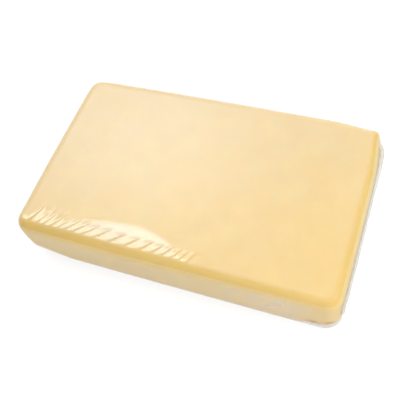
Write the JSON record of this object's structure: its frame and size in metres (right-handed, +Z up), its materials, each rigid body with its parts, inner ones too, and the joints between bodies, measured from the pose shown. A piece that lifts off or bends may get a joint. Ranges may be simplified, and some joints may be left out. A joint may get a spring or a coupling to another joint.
{
  "type": "wrapped cheese block",
  "caption": "Large flat rectangular block of pale yellow semi-hard cheese, shrink-wrapped in clear film with a fan of creases on top and seals folded down at its ends",
  "frame": {"origin": "middle of the flat base, at the level that the block rests on", "axes": "+X along the length, +Y from the creased front side to the back, +Z up"},
  "size_m": [0.5042, 0.3066, 0.089],
  "materials": {
    "cheese": "smooth, pale yellow, slightly translucent semi-hard cheese",
    "film": "clear glossy shrink film, hazy where it is gathered or doubled"
  },
  "bodies": {
    "root": {"wrapped_cheese": "cheese"}
  },
  "joints": []
}
